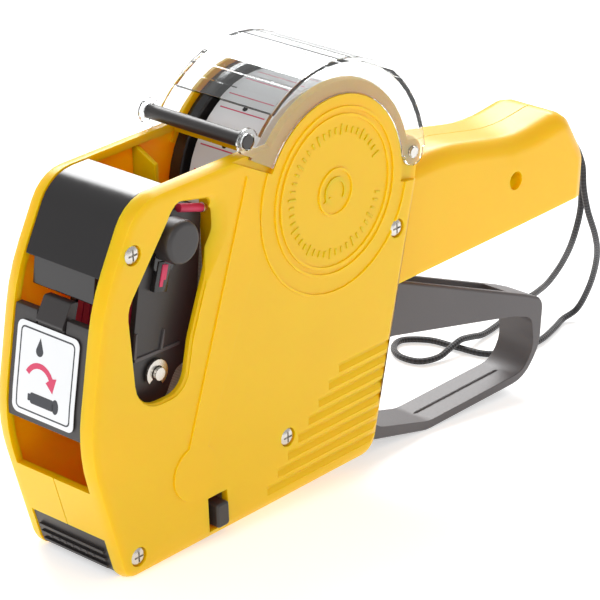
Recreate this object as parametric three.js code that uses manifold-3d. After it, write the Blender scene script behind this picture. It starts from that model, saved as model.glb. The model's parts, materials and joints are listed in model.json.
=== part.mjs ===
// Price labelling gun, in millimetres.
// Gun frame: X from the nose (-X) to the handle (+X), Y across the gun, Z square to the base.
// The finished group leans nose down, because the gun rests on its base's front edge and on its trigger lever.
import * as THREE from 'three';
import { mergeVertices } from 'three/addons/utils/BufferGeometryUtils.js';
import Module from 'manifold-3d';

const wasm = await Module();
wasm.setup();

// ---------------------------------------------------------------- driving dimensions
const bodyWidth = 40;
const bodyHeight = 112;
const wall = 2.5;
const fit = 0.3; // clearance between touching pieces
const play = 0.8; // clearance of pieces that move past each other
const smooth = 0.08; // largest gap between a curve and the straight steps that stand for it
const edgeRound = 3;
const frontOpening = 30; // width of the opening for visor, door and bottom cover
const reelX = 35;
const reelDrop = 22; // reel centre below the top deck
const earRadius = 33.6; // top of the shells round the reel
const coverWall = 1.2;
const coverGap = 4.8; // air between the shells' top and the cover's inside
const coverLap = 4.6; // overlap of the cover's side plates on the shells
const rodRadius = 2.2; // thumb rod of the cover
const rollRadius = 29.6;
const rollWidth = 21;
const coreRadius = 13;
const hingeAngle = 2.6; // reel cover hinge, in degrees above the reel's axis
const handleLength = 110;
const handleWidth = 29;
const handleWall = 2.2;
const leverWidth = 14.4;
const leverPlate = 2.5;
const pivotX = 50;
const pivotZ = 45;
const pivotRadius = 3;
const squeeze = 17; // degrees of lever travel
const headX = -34; // shaft of the print head
const headZ = 56.3;
const headPlate = 2;
const springRoom = 4; // beside the lever, for the return spring
const bandCount = 8;
const bandWidth = 2.3;
const bandPitch = 2.65;
const knobRadius = 6.5;
const knobReach = 1.2; // knob face beyond the shell
const screwHead = 2.7;
const inkX = -53.2;
const inkZ = 52;
const inkRadius = 6;
const bedTop = 10.2;
const feedX = 4;
const feedZ = 11;
const feedRadius = 6.3;
const strapRadius = 1.1;

const half = bodyWidth / 2;
const inside = half - wall;
const reelZ = bodyHeight - reelDrop;
const openHalf = frontOpening / 2;
const headWidth = leverWidth + 2 * (springRoom + headPlate);
const coverRadius = earRadius + coverGap + coverWall;
const hingeRadius = earRadius + 1; // the hinge stands just outside the shells' round top
const flangeRadius = earRadius - 1.6;
const rad = THREE.MathUtils.degToRad;

// ---------------------------------------------------------------- finishes
const finish = (color, roughness, metalness = 0) =>
  new THREE.MeshStandardMaterial({ color, roughness, metalness });
const yellow = finish(0xf2bb1c, 0.35);
const black = finish(0x35322f, 0.5);
const glossBlack = finish(0x1d1c1c, 0.2);
const leverGrey = finish(0x474443, 0.55);
const clear = finish(0xeef2f4, 0.08);
const steel = finish(0xc8c8c6, 0.3, 1);
const red = finish(0xd8305c, 0.5);
const paper = finish(0xf7f5f2, 0.8);
const card = finish(0xb89468, 0.9);
const felt = finish(0x2b2730, 0.95);
const white = finish(0xe9eaea, 0.4);
const cordBlack = finish(0x222226, 0.9);

// ---------------------------------------------------------------- shapes
const gun = new THREE.Group();

const point = (x, z) => new THREE.Vector2(x, z);

/** A point on a circle, by its angle in degrees. */
const onCircle = (x, z, radius, angle) =>
  [x + radius * Math.cos(rad(angle)), z + radius * Math.sin(rad(angle))];

/** Degrees of each straight step on a curve, small enough to stay smooth. */
const coarsest = 30;
const stepOf = (radius) =>
  Math.min(coarsest, THREE.MathUtils.radToDeg(2 * Math.acos(1 - Math.min(smooth / radius, 1))));
const sidesOf = (radius) => Math.ceil(360 / stepOf(radius));

/** Corners along an arc. */
function arc(x, z, radius, from, to) {
  const count = Math.max(1, Math.ceil(Math.abs(to - from) / stepOf(radius)));
  return Array.from({ length: count + 1 }, (_, i) =>
    onCircle(x, z, radius, from + ((to - from) * i) / count));
}

/** A closed outline from corners [x, z, radius], counter-clockwise, moved inwards by inset. */
function rounded(corners, inset = 0) {
  const n = corners.length;
  const points = [];
  corners.forEach(([x, z, radius = 0], i) => {
    const here = point(x, z);
    const before = here.clone().sub(point(...corners[(i + n - 1) % n])).normalize();
    const after = point(...corners[(i + 1) % n]).sub(here).normalize();
    const turn = Math.atan2(before.cross(after), before.dot(after));
    const inward = before.clone().add(after).normalize();
    inward.set(-inward.y, inward.x);
    here.addScaledVector(inward, inset / Math.cos(turn / 2));
    const bend = radius > 0 ? Math.max(radius - Math.sign(turn) * inset, 0.05) : 0;
    if (bend === 0 || Math.abs(turn) < 0.02) {
      points.push(here);
      return;
    }
    const reach = bend * Math.tan(Math.abs(turn) / 2);
    const side = Math.sign(turn);
    const start = here.clone().addScaledVector(before, -reach);
    const centre = start.clone().add(point(-before.y, before.x).multiplyScalar(side * bend));
    const count = Math.max(1, Math.ceil(Math.abs(turn) / rad(stepOf(bend))));
    for (let k = 0; k <= count; k += 1) {
      points.push(start.clone().rotateAround(centre, (turn * k) / count));
    }
  });
  return points;
}

/** A closed body for joining and cutting. */
function solid(geometry) {
  geometry.deleteAttribute('normal');
  geometry.deleteAttribute('uv');
  const merged = mergeVertices(geometry, 1e-4);
  const vertProperties = new Float32Array(merged.attributes.position.array);
  const all = Array.from(merged.index.array);
  const triangles = [];
  for (let i = 0; i < all.length; i += 3) {
    const [a, b, c] = all.slice(i, i + 3);
    if (a !== b && b !== c && c !== a) triangles.push(a, b, c);
  }
  const triVerts = new Uint32Array(triangles);
  return new wasm.Manifold(new wasm.Mesh({ numProp: 3, vertProperties, triVerts }));
}

/** A flat outline given thickness across the gun, from y0 to y1. Its edges slope in by bevelIn over bevel. */
function plate(points, y0, y1, bevel = 0, bevelSegments = 2, bevelIn = bevel) {
  const geometry = new THREE.ExtrudeGeometry(new THREE.Shape(points), {
    depth: y1 - y0 - 2 * bevel,
    bevelEnabled: bevel > 0,
    bevelThickness: bevel,
    bevelSize: bevelIn,
    bevelOffset: -bevelIn,
    bevelSegments,
  });
  return solid(geometry.rotateX(Math.PI / 2).translate(0, y1 - bevel, 0));
}

const polygon = (...corners) => corners.map(([x, z]) => point(x, z));

function block(x0, x1, y0, y1, z0, z1) {
  const geometry = new THREE.BoxGeometry(x1 - x0, y1 - y0, z1 - z0);
  return solid(geometry.translate((x0 + x1) / 2, (y0 + y1) / 2, (z0 + z1) / 2));
}

/** A round bar across the gun. */
function rod(x, z, radius, y0, y1) {
  const geometry = new THREE.CylinderGeometry(radius, radius, y1 - y0, sidesOf(radius));
  return solid(geometry.translate(x, (y0 + y1) / 2, z));
}

/** A turned body about a line across the gun, from [radius, y] points that close or end on the line. */
function turned(x, z, profile) {
  const closed = profile[0][0] > 0 ? [...profile, profile[0]] : profile;
  const line = closed.map(([radius, y]) => new THREE.Vector2(radius, y));
  const widest = Math.max(...profile.map(([radius]) => radius));
  return solid(new THREE.LatheGeometry(line, sidesOf(widest)).translate(x, 0, z));
}

/** A ring about a line across the gun. */
const ring = (x, z, outer, inner, y0, y1) =>
  turned(x, z, [[inner, y0], [outer, y0], [outer, y1], [inner, y1]]);

/** A slice of a ring between two angles. */
function sector(x, z, inner, outer, from, to, y0, y1) {
  const corners = [...arc(x, z, outer, from, to), ...arc(x, z, inner, to, from)];
  return plate(polygon(...corners), y0, y1);
}

const join = (...solids) => solids.reduce((whole, next) => whole.add(next));
const cut = (first, ...solids) => solids.reduce((whole, next) => whole.subtract(next), first);

/** The same body at both sides of the gun, between two distances from the middle. */
const bothSides = (near, far, make) => join(make(-far, -near), make(near, far));

/** Adds a finished piece to the gun. */
function piece(name, body, material, parent = gun) {
  const { vertProperties, triVerts } = body.getMesh();
  const geometry = new THREE.BufferGeometry();
  geometry.setAttribute('position', new THREE.BufferAttribute(new Float32Array(vertProperties), 3));
  geometry.setIndex(new THREE.BufferAttribute(new Uint32Array(triVerts), 1));
  geometry.computeVertexNormals();
  const mesh = new THREE.Mesh(geometry, material);
  mesh.name = name;
  parent.add(mesh);
}

// ---------------------------------------------------------------- case outline
const [hingeX, hingeZ] = onCircle(reelX, reelZ, hingeRadius, hingeAngle);
const hingeBoss = 4.4;
const pinRadius = 1.5; // hinge pins of the reel cover
const pinDepth = 1.6; // inwards from the shell
const baseFront = -55;
const baseRear = 49.5;
const caseCorners = [
  [baseFront, 0, 5],
  [baseRear, 0, 7],
  ...arc(hingeX, hingeZ, hingeBoss, -15, 90),
  ...arc(reelX, reelZ, earRadius, 11, 139),
  [reelX - earRadius - 3, bodyHeight],
  [-43, bodyHeight, 14],
  [-57.5, bodyHeight - 26, 60],
  [-66.2, 44, 50],
];
/** A slice of the case's skin between two depths, inside a region of the side view. */
const skin = (outerDepth, innerDepth, y0, y1, region) =>
  cut(plate(rounded(caseCorners, outerDepth), y0, y1), plate(rounded(caseCorners, innerDepth), y0, y1))
    .intersect(plate(region, y0, y1));

const caseSkin = cut(
  plate(rounded(caseCorners), -half, half, edgeRound, 2),
  plate(rounded(caseCorners, wall), -inside, inside),
);

// ---------------------------------------------------------------- handle outline
const handleStart = 60;
const handleEnd = handleStart + handleLength - 9.5;
const handleMid = handleStart + handleLength * 0.62;
const handleUnder = 48;
const handleHalf = handleWidth / 2;
const handleCorners = [
  [handleStart, handleUnder, 0],
  [handleEnd - 2, handleUnder + 3, 3],
  [handleEnd, handleUnder + 14, 8],
  [handleEnd - 9.5, handleUnder + 31, 9],
  [handleMid, handleUnder + 28.5, 60],
  [handleStart + 34, handleUnder + 36, 60],
  [handleStart, handleUnder + 36.5, 0],
];
const underCut = block(handleStart - 20, handleEnd + 20, -half, half, -40, handleUnder);
const handleLow = handleCorners.map(([x, z, radius], i) => (i < 2 ? [x, z - 8, 0] : [x, z, radius]));
const handleOuter = cut(plate(rounded(handleLow), -handleHalf, handleHalf, 6, 3), underCut);
const handleInner = plate(rounded(handleLow, handleWall), handleWall - handleHalf, handleHalf - handleWall, 4, 1);

// ---------------------------------------------------------------- openings of the case
const doorTop = 79;
const doorFoot = 46;
const lipTop = 30;
const skirtTop = 13.6;
const visorRear = -28;
const deckRear = reelX - earRadius + 4; // the deck is open from the visor to the reel
const frontRegion = polygon([-90, lipTop], [-52, lipTop], [-48, doorTop], [-38, 98], [visorRear, 104],
  [deckRear, 104], [deckRear, 130], [-90, 130]);
const coverRear = -9;
const bottomRegion = polygon([-90, -5], [coverRear, -5], [coverRear, 4], [-50, 4], [-50, skirtTop],
  [-90, skirtTop]);
const slotHalf = leverWidth / 2 + play;
const leverSlot = join(
  block(pivotX - 28, 90, -slotHalf, slotHalf, -5, handleUnder - 0.5),
  block(pivotX + 5, 90, -slotHalf, slotHalf, handleUnder - 2, handleUnder + 12),
);
const windowCorners = [[-28.2, 107.2, 3.5], [-48.4, 82, 8], [-46.8, 50.4, 9], [-28.8, 50.4, 7],
  [-25.2, 65, 14], [-17.4, 84, 24], [-13.4, 103.8, 3]];
const windowHole = plate(rounded(windowCorners), -half - 1, -inside + 1);
const windowLip = plate(rounded(windowCorners, -0.5), -half - 1, -half + 1.5, 1, 1);
// the window's upper rear corner is dished, so that a thumb reaches the knob
const dishCorners = [[-8.8, 104.6, 6], [-32, 108, 6], [-34, 80, 6], [-20, 77, 6], [-8.8, 92.4, 9]];
const dishReach = 4.4;
const windowDish = plate(rounded(dishCorners), -half - wall, -inside, wall, 1, dishReach);
const linerIn = inside - 1; // the ears are thicker inwards
const rollWell = join(
  sector(reelX, reelZ, 26, earRadius + 0.6, -5, 152, -linerIn, linerIn),
  sector(reelX, reelZ, 26, earRadius + 3.5, 8, 143, -linerIn, linerIn),
);
const earLiner = bothSides(linerIn, inside + 0.5, (y0, y1) =>
  sector(reelX, reelZ, 24, earRadius - 0.6, -12, 152, y0, y1));
const lapDepth = coverWall + fit;
const lapInner = earRadius - coverLap;
const coverRecess = bothSides(half - lapDepth, half + 3, (y0, y1) =>
  sector(reelX, reelZ, lapInner, coverRadius + 8, -12, 152, y0, y1));
const latchX = -18.3;
const latchHalf = 3.9;
const latchFoot = wall + 0.4;
const latchTop = 10.6;
const latchTravelTop = latchTop + 2.9;
const latchSlot = bothSides(inside - 1, half + 3, (y0, y1) =>
  block(latchX - latchHalf, latchX + latchHalf, y0, y1, wall, latchTravelTop));
const grooves = Array.from({ length: 8 }, (_, i) => {
  const z = 6 + 4 * i;
  const start = 2 + 1.15 * (z - 6);
  return bothSides(half + 0.9, half + 5, (y0, y1) => {
    const groove = new THREE.CylinderGeometry(1.9, 1.9, 100, 8).rotateZ(Math.PI / 2);
    const y = y0 < 0 ? -half - 1.1 : half + 1.1;
    return solid(groove.translate(start + 50, y, z));
  });
});

// ---------------------------------------------------------------- screws and their bosses
const caseScrews = [
  { x: -45.5, z: bodyHeight - 14.6, full: true },
  { x: 61.3, z: reelZ - 20.2, full: true },
  { x: 11.6, z: 19.9, full: false },
  { x: -50.2, z: 6.6, full: false },
];
const handleScrew = { x: 123.4, z: 63.7 };
const screwSeat = 6.5; // depth of the handle's screw in its hole
const bossRadius = 3.1;
const headDepth = 1.4;
const shortBoss = openHalf + 0.5;
const bosses = join(...caseScrews.map(({ x, z, full }) => (full
  ? rod(x, z, bossRadius, -inside - 0.5, inside + 0.5)
  : bothSides(shortBoss, inside + 0.5, (y0, y1) => rod(x, z, bossRadius, y0, y1)))));
const screwHoles = join(...caseScrews.map(({ x, z, full }) => join(
  rod(x, z, screwHead + fit, -half - 1, -half + headDepth + fit),
  rod(x, z, 1.7, -half - 1, full ? -2 : -shortBoss - 0.3),
)));
const handleBoss = rod(handleScrew.x, handleScrew.z, bossRadius, -handleHalf + 1, handleHalf - 1);
const handleHole = join(
  rod(handleScrew.x, handleScrew.z, screwHead + fit, -handleHalf - 1, screwSeat - handleHalf + headDepth),
  rod(handleScrew.x, handleScrew.z, 1.7, -handleHalf - 1, -1),
);

// ---------------------------------------------------------------- sockets inside the walls
const socket = (x, z, outer, bore, from) => bothSides(from, inside + 0.5, (y0, y1) =>
  ring(x, z, outer, bore + fit, y0, y1));
const sockets = join(
  socket(pivotX, pivotZ, pivotRadius + 3, pivotRadius, inside - 2),
  socket(feedX, feedZ, 4.2, 2, inside - 2),
);

// ---------------------------------------------------------------- raised decor on both sides
const bandProud = 0.45;
const decor = bothSides(half - 0.5, half + bandProud, (y0, y1) => join(
  plate(polygon([-1, 106.5], [-29, 31.8], [-22.3, 28.5], [2.6, 83.5], [3.2, 92]), y0, y1),
  rod(-26.8, 23.8, 8.6, y0, y1),
  ring(reelX, reelZ, 25.6, 24.7, y0, y1),
  ring(reelX, reelZ, 23.4, 22.5, y0, y1),
  ring(reelX, reelZ, 7.4, 6.6, y0, y1),
  ring(reelX, reelZ, 31.4, 30.6, y0, y1),
));

const wholeCase = cut(
  join(
    cut(join(caseSkin, bosses, sockets), plate(frontRegion, -openHalf, openHalf),
      plate(bottomRegion, -openHalf, openHalf)),
    earLiner,
    cut(join(handleOuter, handleBoss), cut(handleInner, handleBoss), plate(rounded(caseCorners, 0.5), -half, half)),
    decor,
  ),
  rollWell, leverSlot, windowHole, windowLip, windowDish, coverRecess, latchSlot, screwHoles, handleHole, ...grooves,
  bothSides(inside - pinDepth - fit, half + 2, (y0, y1) => rod(hingeX, hingeZ, pinRadius + fit, y0, y1)),
  block(handleEnd - 9, handleEnd + 5, -3.2, 3.2, handleUnder + 9, handleUnder + 17),
);
const seam = fit / 2;
piece('right_shell', wholeCase.intersect(block(-100, 200, -half - 5, -seam, -40, 200)), yellow);
piece('left_shell', wholeCase.intersect(block(-100, 200, seam, half + 5, -40, 200)), yellow);

// ---------------------------------------------------------------- strap eyelet
const eyelet = { from: handleEnd - 6, to: handleEnd + 1, low: handleUnder + 9, high: handleUnder + 17 };
piece('strap_eyelet', block(eyelet.from, eyelet.to, -2.9, 2.9, eyelet.low + fit, eyelet.high - fit), black);

// ---------------------------------------------------------------- screws
/** A cross-head screw with its face at faceY, going inwards. */
function screw(x, z, faceY, length) {
  const body = turned(x, z, [[0, faceY], [screwHead * 0.6, faceY], [screwHead, faceY + 0.5],
    [screwHead, faceY + headDepth - 0.1], [1.3, faceY + headDepth - 0.1], [1.3, faceY + length],
    [0, faceY + length]]);
  const arm = 1.65;
  const slit = 0.28;
  return cut(body, block(x - arm, x + arm, faceY - 1, faceY + 0.8, z - slit, z + slit),
    block(x - slit, x + slit, faceY - 1, faceY + 0.8, z - arm, z + arm));
}
caseScrews.forEach(({ x, z, full }, i) => {
  piece(`case_screw_${i + 1}`, screw(x, z, -half + 0.1, full ? 16 : half - shortBoss - 0.7), steel);
});
piece('handle_screw', screw(handleScrew.x, handleScrew.z, screwSeat - handleHalf - fit, 6), steel);

// ---------------------------------------------------------------- front: visor and guard
const fillHalf = openHalf - fit;
const visorRegion = polygon([-90, 87], [-44, 93], [visorRear - fit, 104], [visorRear - fit, 130], [-90, 130]);
const visorLip = [[-54.2, 83.4, 0.5], [-52.4, 83.1, 0.5], [-50.6, 93, 0], [-52.6, 93, 0]];
piece('nose_visor', join(skin(0.3, 2.3, -fillHalf, fillHalf, visorRegion),
  plate(rounded(visorLip), -12.2, 12.2)), glossBlack);
const guardRegion = polygon([-90, 0.4], [-49.8, 0.4], [-49.8, skirtTop - fit], [-90, skirtTop - fit]);
const guardRibs = [3, 5.6, 8.2].map((z) =>
  skin(-0.5, 1, -fillHalf + 1.5, fillHalf - 1.5, polygon([-90, z], [-50, z], [-50, z + 1.1], [-90, z + 1.1])));
piece('front_guard', join(skin(0.4, 2.4, -fillHalf, fillHalf, guardRegion), ...guardRibs), black);

// ---------------------------------------------------------------- bottom cover and its latch
const coverHingeX = -47.4;
const coverHingeZ = 2.1;
piece('bottom_cover', join(
  block(coverHingeX, coverRear - fit, -fillHalf, fillHalf, 0.4, 2.2),
  rod(coverHingeX, coverHingeZ, 1.7, -fillHalf, fillHalf),
), black);
const latchRear = latchX + latchHalf - 0.5;
const latchFront = latchX - 1.6;
const latchOutline = [[latchFront, latchFoot, 1.2], [latchRear, latchFoot, 1.2],
  [latchRear, latchTop, 1.2], [latchFront, latchTop, 1.2]];
const latchButton = (y0, y1) => plate(rounded(latchOutline), y0, y1, 0.5, 1);
piece('latch_right', latchButton(-half - knobReach, -openHalf - 0.4), black);
piece('latch_left', latchButton(openHalf + 0.4, half + knobReach), black);

// ---------------------------------------------------------------- print bed, web and feed
piece('feed_bed', join(
  plate(polygon([-45.6, 9], [-44.6, 7.8], [-24.5, 7.8], [-24.5, bedTop], [-44.4, bedTop]), -13.2, 13.2),
  bothSides(13, inside - fit, (y0, y1) => block(-33, -27, y0, y1, 7.8, bedTop)),
), black);
const webThickness = 0.3;
const webCorners = [[reelX - rollRadius - 0.6, reelZ + 2], [-8, 50, 25], [-12, bedTop + 0.6, 9],
  [-46.2, bedTop + 0.6, 1.35], [-46.2, 6.6, 1.35], [-20, 4.8, 10], [14, 3.4]];
/** A thin strip along a path, seen from the side. */
function strip(corners, thickness) {
  const middle = rounded(corners);
  const normals = middle.map((here, i) => {
    const back = middle[Math.max(i - 1, 0)];
    const ahead = middle[Math.min(i + 1, middle.length - 1)];
    const along = ahead.clone().sub(back).normalize();
    return point(-along.y, along.x).multiplyScalar(thickness / 2);
  });
  const left = middle.map((here, i) => here.clone().add(normals[i]));
  const right = middle.map((here, i) => here.clone().sub(normals[i]));
  return [...right, ...left.reverse()];
}
piece('label_web', plate(strip(webCorners, webThickness), -rollWidth / 2, rollWidth / 2), paper);
piece('guide_roller', rod(-16.6, 16.3, 2.9, -inside + fit, inside - fit), steel);
const axleRadius = 2;
const axleHalf = inside - fit;
piece('feed_axle', rod(feedX, feedZ, axleRadius, -axleHalf, axleHalf), steel);
const teeth = 10;
const toothed = (outer, inner) => Array.from({ length: teeth * 2 }, (_, i) =>
  point(...onCircle(feedX, feedZ, i % 2 ? inner : outer, (i * 180) / teeth)));
const feedBore = rod(feedX, feedZ, axleRadius + fit, -half, half);
piece('feed_wheel', cut(join(rod(feedX, feedZ, feedRadius - 1.1, -9.4, 9.4),
  bothSides(4, 6, (y0, y1) => plate(toothed(feedRadius, feedRadius - 1.3), y0, y1))), feedBore), black);
piece('ratchet_wheel', cut(plate(toothed(feedRadius - 0.4, feedRadius - 1.8), 9.8, 11.6), feedBore), white);
piece('feed_pawl', plate(polygon([feedX + 5.4, feedZ - 3.4], [22, 3.2], [22, 4.2], [feedX + 6.4, feedZ - 2.2]),
  9.9, 11.5), steel);
const armPin = { x: feedX - 2, z: feedZ + 14 };
const drivePin = { x: pivotX - 10, z: pivotZ - 25 };
const armY = -rollWidth / 2 - 1.3;
piece('feed_arm', cut(join(
  rod(feedX, feedZ, 4.4, armY - 1.5, armY),
  plate(polygon([feedX - 3, feedZ], [feedX + 3, feedZ], [armPin.x + 2.4, armPin.z], [armPin.x - 2.4, armPin.z]),
    armY - 1.5, armY),
  rod(armPin.x, armPin.z, 2.5, armY - 1.5, armY),
  rod(armPin.x, armPin.z, 1.2, armY - 3.4, armY),
), feedBore), steel);
const linkY = armY - 1.9;
const linkHole = 2.6;
const linkWidth = linkHole + 1.3;
piece('feed_link', cut(join(
  rod(armPin.x, armPin.z, linkWidth, linkY - 1.4, linkY),
  rod(drivePin.x, drivePin.z, linkWidth, linkY - 1.4, linkY),
  plate(polygon([armPin.x, armPin.z - 2.2], [drivePin.x, drivePin.z - 2.2],
    [drivePin.x, drivePin.z + 2.2], [armPin.x, armPin.z + 2.2]), linkY - 1.4, linkY),
), rod(armPin.x, armPin.z, linkHole, -half, half), rod(drivePin.x, drivePin.z, linkHole, -half, half)),
steel);

// ---------------------------------------------------------------- pivot, spring and trigger lever
const leverHalf = leverWidth / 2;
piece('pivot_shaft', rod(pivotX, pivotZ, pivotRadius, -inside + fit, inside - fit), steel);
const coil = new THREE.CatmullRomCurve3([
  new THREE.Vector3(pivotX - 14, leverHalf + 0.9, pivotZ - 5.3),
  ...Array.from({ length: 21 }, (_, i) => {
    const [x, z] = onCircle(pivotX, pivotZ, 5.3, -90 + i * 45);
    return new THREE.Vector3(x, leverHalf + 0.9 + i * 0.105, z);
  }),
  new THREE.Vector3(pivotX - 16, leverHalf + 3.05, pivotZ + 5.6),
]);
const wire = new THREE.Shape(Array.from({ length: 5 }, (_, i) => point(...onCircle(0, 0, 0.45, i * 72))));
piece('lever_spring', solid(new THREE.ExtrudeGeometry(wire,
  { extrudePath: coil, steps: 62, bevelEnabled: false })), steel);
const leverCorners = [
  [88, -12.2, 14],
  [136.5, -12.2, 13],
  [144.6, -3, 13],
  [146.6, 13.2, 4.5],
  [138, 17.4, 6],
  [60, 50.6, 0],
  [pivotX - 6, pivotZ + 8, 5],
  [pivotX - 13.5, pivotZ - 9, 6],
  [pivotX - 13, 6, 10],
  [60, -5, 14],
];
const leverHole = [
  [89, -9, 14],
  [135.4, -9, 8.8],
  [141, -2.4, 8.8],
  [140, 8.6, 4],
  [131.5, 12, 5],
  [72, 26.6, 9],
  [54, 27, 5],
  [54, 8, 6],
  [66, -2.2, 8],
];
const betweenPlates = plate(polygon([60, 16], [130, -2], [130, 40], [58, 70]),
  leverPlate - leverHalf, leverHalf - leverPlate);
const upperOnly = plate(polygon([56, 10], [136, 4], [136, 60], [56, 80]), -leverHalf, leverHalf);
piece('trigger_lever', cut(
  join(
    cut(plate(rounded(leverCorners), -leverHalf, leverHalf, 1, 2), plate(rounded(leverHole), -half, half)),
    rod(drivePin.x, drivePin.z, 1.5, linkY - 1.4, -leverHalf + 1),
    plate(polygon([88, -9.4], [131, -9.4], [130, -8.6], [90, -8.6]), -0.3, 0.3),
  ),
  betweenPlates.intersect(upperOnly),
  rod(pivotX, pivotZ, pivotRadius + fit, -half, half),
), leverGrey);

// ---------------------------------------------------------------- print head, in its own leaning frame
const head = new THREE.Group();
head.position.set(headX, 0, headZ);
head.rotation.y = rad(squeeze);
gun.add(head);
const toHead = (x, z) => {
  const turnedPoint = point(x - headX, z - headZ).rotateAround(point(0, 0), rad(squeeze));
  return [turnedPoint.x, turnedPoint.y];
};
const [pivotA, pivotU] = toHead(pivotX, pivotZ);
const headHalf = headWidth / 2;
const knobA = -4.8;
const knobU = 39.1;
const sidePlate = [
  [-7.5, -9, 3], [6, -9, 3], [9, 2, 5], [pivotA, pivotU - 7, 0],
  ...arc(pivotA, pivotU, 7, -60, 90), [14, 12, 8], [8, knobU + 9, 4], [-9, knobU + 9, 7],
  [-12.3, knobU - 8, 8], [-10.5, 12, 10],
];
const shaftRadius = 2;
piece('head_frame', cut(
  join(
    bothSides(headHalf - headPlate, headHalf, (y0, y1) => plate(rounded(sidePlate), y0, y1)),
    block(4.5, 7, -headHalf + 1, headHalf - 1, 4, knobU + 2),
    block(-3, 5, -headHalf + 1, headHalf - 1, knobU + 7.9, knobU + 9),
  ),
  rod(pivotA, pivotU, pivotRadius + fit, -half, half),
  rod(0, 0, shaftRadius + fit, -half, half),
  rod(knobA, knobU, 3, -half, half),
), black, head);
piece('head_cowl', plate(rounded([[-15.4, 32, 1], [-13.2, 32, 0], [-13.2, 44, 0], [-14.8, 44, 1]]),
  -headHalf + 0.6, headHalf - 0.6), glossBlack, head);
piece('head_shaft', rod(0, 0, shaftRadius, -headHalf - 2.6, headHalf + 2.6), steel, head);
for (const [name, y] of [['head_clip_right', -headHalf - 1.4], ['head_clip_left', headHalf + 0.6]]) {
  piece(name, sector(0, 0, shaftRadius + 0.25, 4.1, -50, 230, y, y + 0.8), steel, head);
}
const drumRadius = 4.8;
const noseA = -7;
const noseU = -17.6;
const bandLoop = (grow) => plate(polygon(
  ...arc(knobA, knobU, drumRadius + 0.4 + grow, 2, 182),
  ...arc(noseA, noseU, 1.5 + grow, 182, 358),
), -bandWidth / 2, bandWidth / 2);
for (let i = 0; i < bandCount; i += 1) {
  const y = (i - (bandCount - 1) / 2) * bandPitch;
  piece(`digit_band_${i + 1}`, cut(bandLoop(0.9), bandLoop(0)).translate([0, y, 0]), red, head);
}
piece('band_drum', ring(knobA, knobU, drumRadius, 2.8, -headHalf + headPlate + 0.3, headHalf - headPlate - 0.3),
  black, head);
piece('band_nose', rod(noseA, noseU, 1.1, -headHalf + headPlate + 0.3, headHalf - headPlate - 0.3), steel, head);
const slideY = -headHalf - 0.4;
piece('selector_slide', cut(
  plate(rounded([[knobA - 3.9, knobU - 9.6, 1.5], [knobA + 3.9, knobU - 9.6, 1.5], [knobA + 3.9, knobU, 0],
    ...arc(knobA, knobU, 5.6, 40, 140), [knobA - 3.9, knobU, 0]]), slideY - 1.2, slideY),
  rod(knobA, knobU, 2.8, -half, half),
  block(knobA - 1.2, knobA + 1.2, slideY - 2, slideY - 0.6, knobU - 9, knobU - 6.6),
), glossBlack, head);
piece('pointer', plate(polygon([knobA - 0.9, knobU - 8.7], [knobA + 0.9, knobU - 8.7], [knobA + 0.9, knobU - 7.6],
  [knobA, knobU - 6.9], [knobA - 0.9, knobU - 7.6]), slideY - 1.5, slideY - 0.9), red, head);
const knobFace = -half - knobReach;
const knobBack = slideY - 1.6;
piece('selector_knob', turned(knobA, knobU, [[0, knobFace], [knobRadius - 1.6, knobFace],
  [knobRadius - 0.4, knobFace + 0.6], [knobRadius, knobFace + 1.8], [knobRadius, knobBack], [2.4, knobBack],
  [2.4, headHalf + 1], [0, headHalf + 1]]), black, head);

// ---------------------------------------------------------------- ink door and roller
const doorHinge = { x: -61.6, z: 48.4 };
const doorRegion = polygon([-90, doorFoot + 0.4], [-56, doorFoot + 0.4], [-50, doorTop - 0.4], [-90, doorTop - 0.4]);
const inkCore = 1.8;
const inkEar = { near: 12.2, far: 13.8 };
const tabHalf = 5.4; // the springy tab that latches the door
const tabSlit = 0.5;
piece('ink_door', cut(
  join(
    skin(0.4, 2.6, -fillHalf, fillHalf, doorRegion),
    plate(rounded([[-60.6, 75.6, 0.8], [-55.5, 75.6, 0], [-53.2, 82.4, 0.6], [-56.2, 82.8, 1]]), -tabHalf, tabHalf),
    rod(doorHinge.x, doorHinge.z, 1.6, -fillHalf, fillHalf),
    bothSides(inkEar.near, inkEar.far, (y0, y1) => join(
      plate(polygon([-63.2, inkZ - 3.5], [inkX, inkZ - 3.4], [inkX, inkZ + 3.4], [-62.6, inkZ + 6]), y0, y1),
      rod(inkX, inkZ, 3.4, y0, y1),
    )),
  ),
  rod(inkX, inkZ, inkCore + fit, -half, half),
  bothSides(tabHalf, tabHalf + tabSlit, (y0, y1) => block(-70, -50, y0, y1, 72.5, 84)),
), black);
piece('door_sticker', skin(-0.2, 0.1, -12.4, 12.4, polygon([-90, 48.5], [-58, 48.5], [-52, 75], [-90, 75])), white);
piece('ink_core', rod(inkX, inkZ, inkCore, -inkEar.far, inkEar.far), white);
piece('ink_felt', ring(inkX, inkZ, inkRadius, inkCore + fit, -11.4, 11.4), felt);

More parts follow.
